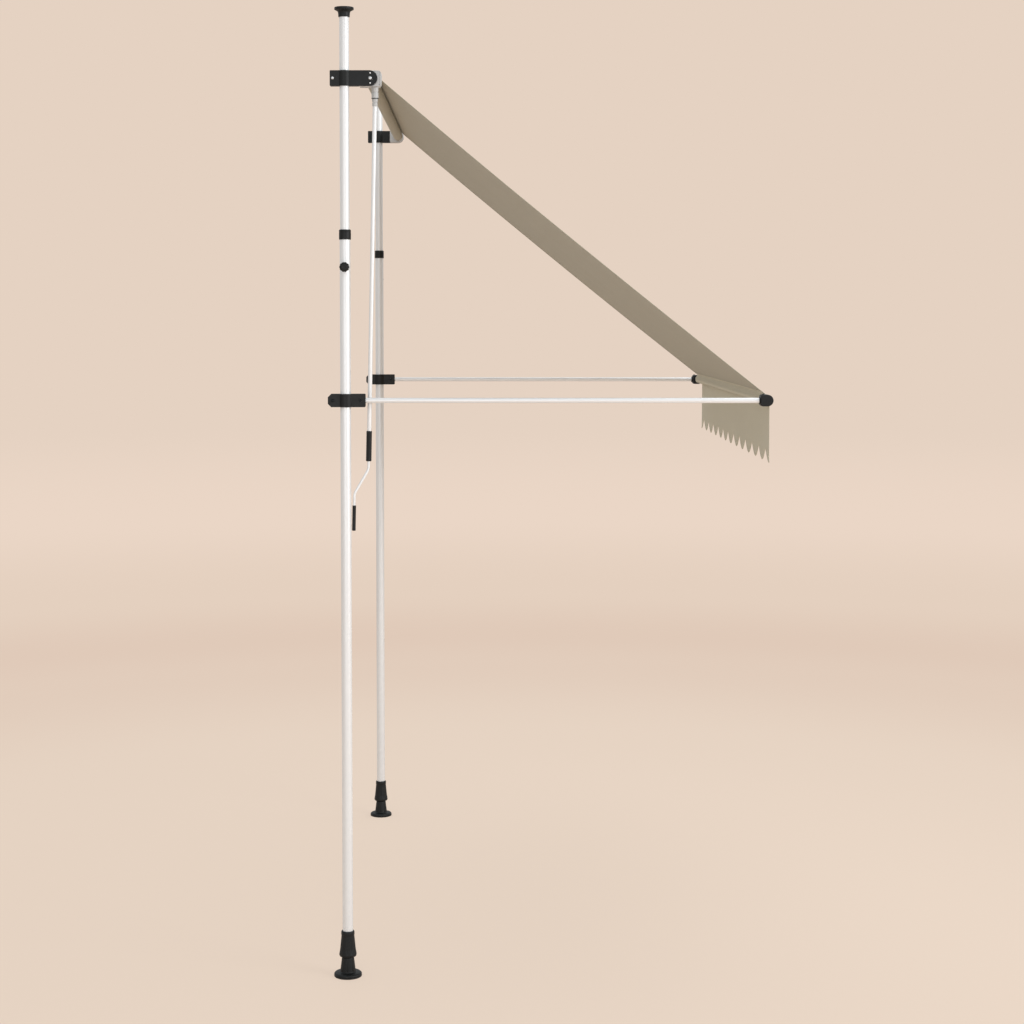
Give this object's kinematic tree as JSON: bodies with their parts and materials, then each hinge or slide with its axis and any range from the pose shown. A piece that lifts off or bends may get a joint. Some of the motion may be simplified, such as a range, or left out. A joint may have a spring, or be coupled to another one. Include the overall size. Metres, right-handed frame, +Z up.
{
  "type": "clamp awning",
  "caption": "Telescopic clamp awning: two floor-to-ceiling masts, winch-driven canvas roller, two drop arms with a front bar and a scalloped valance.",
  "frame": {"origin": "middle of the part's box at floor level, between the two masts and half way out to the front bar", "axes": "+Z up along the masts, +X from the winch-side mast to the idler-side mast, the canopy projects towards -Y"},
  "size_m": [2.092, 1.3444, 2.946],
  "materials": {
    "powder_coat": "white powder-coated steel tube, satin",
    "black_plastic": "black moulded nylon, fine matt grain",
    "grey_plastic": "light grey moulded plastic, satin",
    "canvas": "taupe plain-weave polyester canvas, matt",
    "zinc_steel": "zinc-plated steel",
    "rubber": "black rubber, matt"
  },
  "bodies": {
    "feet": {"left_foot_pad": "rubber", "right_foot_pad": "rubber", "left_foot_base": "black_plastic", "right_foot_base": "black_plastic", "left_foot_screw": "zinc_steel", "right_foot_screw": "zinc_steel"},
    "posts": {"left_lower_tube": "powder_coat", "right_lower_tube": "powder_coat", "left_collar": "black_plastic", "right_collar": "black_plastic"},
    "left_sleeve": {"left_jack_sleeve": "black_plastic"},
    "right_sleeve": {"right_jack_sleeve": "black_plastic"},
    "left_knob": {"left_lock_knob": "black_plastic"},
    "right_knob": {"right_lock_knob": "black_plastic"},
    "masts": {"left_upper_tube": "powder_coat", "right_upper_tube": "powder_coat", "left_ceiling_pad": "black_plastic", "right_ceiling_pad": "black_plastic", "left_roller_clamp_outer": "black_plastic", "right_roller_clamp_outer": "black_plastic", "left_roller_clamp_inner": "black_plastic", "right_roller_clamp_inner": "black_plastic", "left_roller_clamp_bolt": "zinc_steel", "right_roller_clamp_bolt": "zinc_steel", "left_arm_clamp_outer": "black_plastic", "right_arm_clamp_outer": "black_plastic", "left_arm_clamp_inner": "black_plastic", "right_arm_clamp_inner": "black_plastic", "left_arm_clamp_bolt": "zinc_steel", "right_arm_clamp_bolt": "zinc_steel", "left_arm_pivot_pin": "zinc_steel", "right_arm_pivot_pin": "zinc_steel", "winch_housing": "grey_plastic", "winch_socket": "grey_plastic", "idler_bracket": "grey_plastic"},
    "worm": {"worm_shaft": "zinc_steel"},
    "roller": {"roller_tube": "zinc_steel", "canvas_roll": "canvas", "roller_drive_plug": "black_plastic", "roller_idler_plug": "black_plastic", "worm_wheel": "zinc_steel"},
    "crank_cross": {"crank_joint_cross": "zinc_steel"},
    "crank_yoke": {"crank_joint_yoke": "zinc_steel"},
    "crank": {"crank_joint_sleeve": "grey_plastic", "crank_tube": "powder_coat", "crank_rod": "powder_coat"},
    "upper_grip": {"crank_upper_grip": "black_plastic"},
    "lower_grip": {"crank_lower_grip": "black_plastic"},
    "arms": {"left_drop_arm": "powder_coat", "right_drop_arm": "powder_coat", "left_arm_eye": "zinc_steel", "right_arm_eye": "zinc_steel", "left_front_cap": "black_plastic", "right_front_cap": "black_plastic", "front_bar": "powder_coat", "canvas_hem": "canvas"},
    "valance": {"valance": "canvas"},
    "canopy": {"canopy": "canvas"}
  },
  "joints": [
    {"name": "left_jack_turn", "type": "hinge", "parent": "posts", "child": "left_sleeve", "pos_m": [-1, 0.61925, 0.1], "axis": [0, 0, 1], "range_deg": [0, 4320]},
    {"name": "right_jack_turn", "type": "hinge", "parent": "posts", "child": "right_sleeve", "pos_m": [1, 0.61925, 0.1], "axis": [0, 0, 1], "range_deg": [0, 4320]},
    {"name": "posts_rise", "type": "slide", "parent": "feet", "child": "posts", "axis": [0, 0, 1], "range_m": [0, 0.048]},
    {"name": "mast_height", "type": "slide", "parent": "posts", "child": "masts", "axis": [0, 0, 1], "range_m": [-0.4, 0.06]},
    {"name": "left_knob_turn", "type": "hinge", "parent": "posts", "child": "left_knob", "pos_m": [-1.03, 0.61925, 2.172], "axis": [-1, 0, 0], "range_deg": [0, 720]},
    {"name": "right_knob_turn", "type": "hinge", "parent": "posts", "child": "right_knob", "pos_m": [1.03, 0.61925, 2.172], "axis": [1, 0, 0], "range_deg": [0, 720]},
    {"name": "crank_tilt", "type": "hinge", "parent": "masts", "child": "crank_cross", "pos_m": [-0.976, 0.52875, 2.6735], "axis": [-1, 0, 0], "range_deg": [0, 25]},
    {"name": "crank_lean_in", "type": "hinge", "parent": "crank_cross", "child": "crank_yoke", "pos_m": [-0.976, 0.52875, 2.6735], "axis": [0, -1, 0], "range_deg": [0, 25]},
    {"name": "crank_turn", "type": "hinge", "parent": "crank_yoke", "child": "crank", "pos_m": [-0.976, 0.52875, 2.6735], "axis": [0, -0.0209, 0.9998], "range_deg": [0, 24480]},
    {"name": "upper_grip_spin", "type": "hinge", "parent": "crank", "child": "upper_grip", "pos_m": [-0.976, 0.55053, 1.63373], "axis": [0, -0.0209, 0.9998], "continuous": true},
    {"name": "lower_grip_spin", "type": "hinge", "parent": "crank", "child": "lower_grip", "pos_m": [-0.993, 0.59563, 1.41463], "axis": [0, -0.0209, 0.9998], "continuous": true},
    {"name": "worm_turn", "type": "hinge", "parent": "masts", "child": "worm", "pos_m": [-0.976, 0.52875, 2.73], "axis": [0, 0, 1], "range_deg": [0, 24480]},
    {"name": "roller_turn", "type": "hinge", "parent": "masts", "child": "roller", "pos_m": [0, 0.54125, 2.7355], "axis": [-1, 0, 0], "range_deg": [0, 3060]},
    {"name": "arm_swing", "type": "hinge", "parent": "masts", "child": "arms", "pos_m": [0, 0.57425, 1.771], "axis": [-1, 0, 0], "range_deg": [0, 65]},
    {"name": "valance_hang", "type": "hinge", "parent": "arms", "child": "valance", "pos_m": [0, -0.65475, 1.771], "axis": [-1, 0, 0], "range_deg": [-65, 0]},
    {"name": "canopy_swing", "type": "hinge", "parent": "masts", "child": "canopy", "pos_m": [0, 0.54125, 2.7355], "axis": [-1, 0, 0], "range_deg": [0, 55.54], "deforming": ["canopy"]}
  ],
  "couplings": [
    {"joint": "left_jack_turn", "follows": "posts_rise", "rad_per_m": 1570.8},
    {"joint": "right_jack_turn", "follows": "posts_rise", "rad_per_m": 1570.8},
    {"joint": "crank_turn", "follows": "arm_swing", "ratio": 376.62},
    {"joint": "worm_turn", "follows": "arm_swing", "ratio": 376.62},
    {"joint": "roller_turn", "follows": "arm_swing", "ratio": 47.077},
    {"joint": "valance_hang", "follows": "arm_swing", "ratio": -1},
    {"joint": "canopy_swing", "follows": "arm_swing", "ratio": 0.85445}
  ]
}
